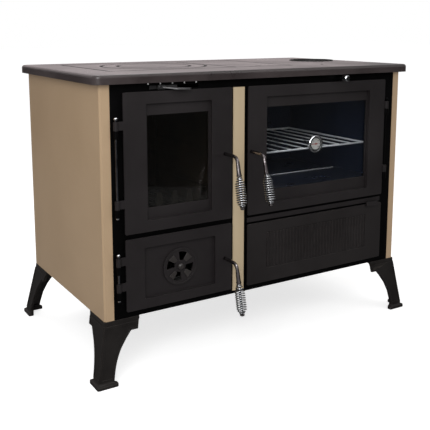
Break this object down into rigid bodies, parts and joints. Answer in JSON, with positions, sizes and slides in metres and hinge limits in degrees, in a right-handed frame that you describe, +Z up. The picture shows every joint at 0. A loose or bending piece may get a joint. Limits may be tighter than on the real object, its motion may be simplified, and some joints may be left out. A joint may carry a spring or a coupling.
{
  "type": "wood-burning cookstove",
  "caption": "Free-standing wood-burning cookstove with glazed firebox and oven doors, ash door, wood drawer, lift-off cooking plates and splayed cast legs.",
  "frame": {"origin": "on the floor, at the middle of the whole stove's outline seen from above", "axes": "+Z up; the doors face -Y; +X to the right for someone facing the doors"},
  "size_m": [1.146, 0.7504, 0.85],
  "materials": {
    "beige_enamel": "beige baked enamel on steel sheet, satin",
    "hob_iron": "machined cast hob, dark brown-grey, fine grain",
    "door_paint": "charcoal heat-proof paint, fine orange peel",
    "black_steel": "black heat-proof paint on steel sheet",
    "leg_iron": "dark brown-black painted casting",
    "chrome": "polished chrome on steel",
    "fire_clay": "fire-clay brick, matt",
    "enamel": "blue-black glossy enamel",
    "glass": "heat-proof glass",
    "rope": "flat woven glass-fibre rope",
    "steel": "bare steel, rolled",
    "dial_needle": "red lacquer"
  },
  "bodies": {
    "stove": {"left_side_panel": "beige_enamel", "right_side_panel": "beige_enamel", "back_panel": "black_steel", "base_plate": "black_steel", "front_frame": "black_steel", "center_strip": "beige_enamel", "sill_strip": "door_paint", "hob_plate": "hob_iron", "flue_collar": "leg_iron", "leg_front_left": "leg_iron", "leg_front_right": "leg_iron", "leg_rear_left": "leg_iron", "leg_rear_right": "leg_iron", "firebox_shell": "black_steel", "firebox_lining_left": "fire_clay", "firebox_lining_right": "fire_clay", "firebox_lining_back": "fire_clay", "fire_grate": "leg_iron", "log_retainer": "leg_iron", "ash_pan": "steel", "oven_mouth": "enamel", "oven_box": "enamel", "oven_rack": "chrome", "smoke_shelf": "black_steel", "drawer_runner_left": "steel", "drawer_runner_right": "steel", "firebox_hinge_rod": "steel", "ash_hinge_rod": "steel", "oven_hinge_rod": "steel"},
    "firebox_door_leaf": {"firebox_door": "door_paint", "firebox_glass": "glass", "firebox_glass_frame": "black_steel", "firebox_door_seal": "rope"},
    "firebox_latch": {"firebox_handle": "chrome", "firebox_handle_spring": "chrome"},
    "ash_door_leaf": {"ash_door": "door_paint", "ash_door_seal": "rope", "rosette_screw": "steel"},
    "ash_latch": {"ash_handle": "chrome", "ash_handle_spring": "chrome"},
    "rosette": {"air_rosette": "door_paint"},
    "oven_door_leaf": {"oven_door": "door_paint", "oven_glass": "glass", "oven_glass_frame": "black_steel", "oven_door_seal": "rope", "thermometer_case": "chrome"},
    "pointer": {"thermometer_pointer": "dial_needle"},
    "oven_latch": {"oven_handle": "chrome", "oven_handle_spring": "chrome"},
    "wood_drawer": {"drawer_front": "door_paint", "drawer_box": "steel", "drawer_pull": "door_paint"},
    "damper": {"damper_knob": "chrome", "damper_plate": "steel"},
    "air_slide": {"air_lever": "steel"},
    "left_plate": {"cooking_plate_left": "hob_iron"},
    "right_plate": {"cooking_plate_right": "hob_iron"},
    "ring": {"hob_ring": "hob_iron"},
    "lid": {"hob_lid": "hob_iron"}
  },
  "joints": [
    {"name": "firebox_door_hinge", "type": "hinge", "parent": "stove", "child": "firebox_door_leaf", "pos_m": [-0.496, -0.26685, 0.606], "axis": [0, 0, -1], "range_deg": [0, 110]},
    {"name": "firebox_latch_turn", "type": "hinge", "parent": "firebox_door_leaf", "child": "firebox_latch", "pos_m": [-0.157, -0.26685, 0.608], "axis": [0, 1, 0], "range_deg": [0, 90]},
    {"name": "ash_door_hinge", "type": "hinge", "parent": "stove", "child": "ash_door_leaf", "pos_m": [-0.496, -0.26685, 0.298], "axis": [0, 0, -1], "range_deg": [0, 110]},
    {"name": "ash_latch_turn", "type": "hinge", "parent": "ash_door_leaf", "child": "ash_latch", "pos_m": [-0.157, -0.26685, 0.296], "axis": [0, 1, 0], "range_deg": [0, 90]},
    {"name": "air_rosette_turn", "type": "hinge", "parent": "ash_door_leaf", "child": "rosette", "pos_m": [-0.304, -0.26085, 0.297], "axis": [0, 1, 0], "range_deg": [0, 45]},
    {"name": "oven_door_hinge", "type": "hinge", "parent": "stove", "child": "oven_door_leaf", "pos_m": [0.474, -0.26685, 0.606], "axis": [0, 0, 1], "range_deg": [0, 110]},
    {"name": "oven_latch_turn", "type": "hinge", "parent": "oven_door_leaf", "child": "oven_latch", "pos_m": [-0.065, -0.26685, 0.6065], "axis": [0, -1, 0], "range_deg": [0, 90]},
    {"name": "thermometer_pointer_turn", "type": "hinge", "parent": "oven_door_leaf", "child": "pointer", "pos_m": [0.1825, -0.25985, 0.6075], "axis": [0, 1, 0], "range_deg": [0, 270]},
    {"name": "wood_drawer_slide", "type": "slide", "parent": "stove", "child": "wood_drawer", "axis": [0, -1, 0], "range_m": [0, 0.4]},
    {"name": "damper_slide", "type": "slide", "parent": "stove", "child": "damper", "axis": [0, -1, 0], "range_m": [0, 0.05]},
    {"name": "air_lever_slide", "type": "slide", "parent": "stove", "child": "air_slide", "axis": [1, 0, 0], "range_m": [-0.036, 0.104]},
    {"name": "cooking_plate_left_lift", "type": "slide", "parent": "stove", "child": "left_plate", "axis": [0, 0, 1], "range_m": [0, 0.1]},
    {"name": "cooking_plate_right_lift", "type": "slide", "parent": "stove", "child": "right_plate", "axis": [0, 0, 1], "range_m": [0, 0.1]},
    {"name": "hob_ring_lift", "type": "slide", "parent": "left_plate", "child": "ring", "axis": [0, 0, 1], "range_m": [0, 0.08]},
    {"name": "hob_lid_lift", "type": "slide", "parent": "ring", "child": "lid", "axis": [0, 0, 1], "range_m": [0, 0.06]}
  ]
}
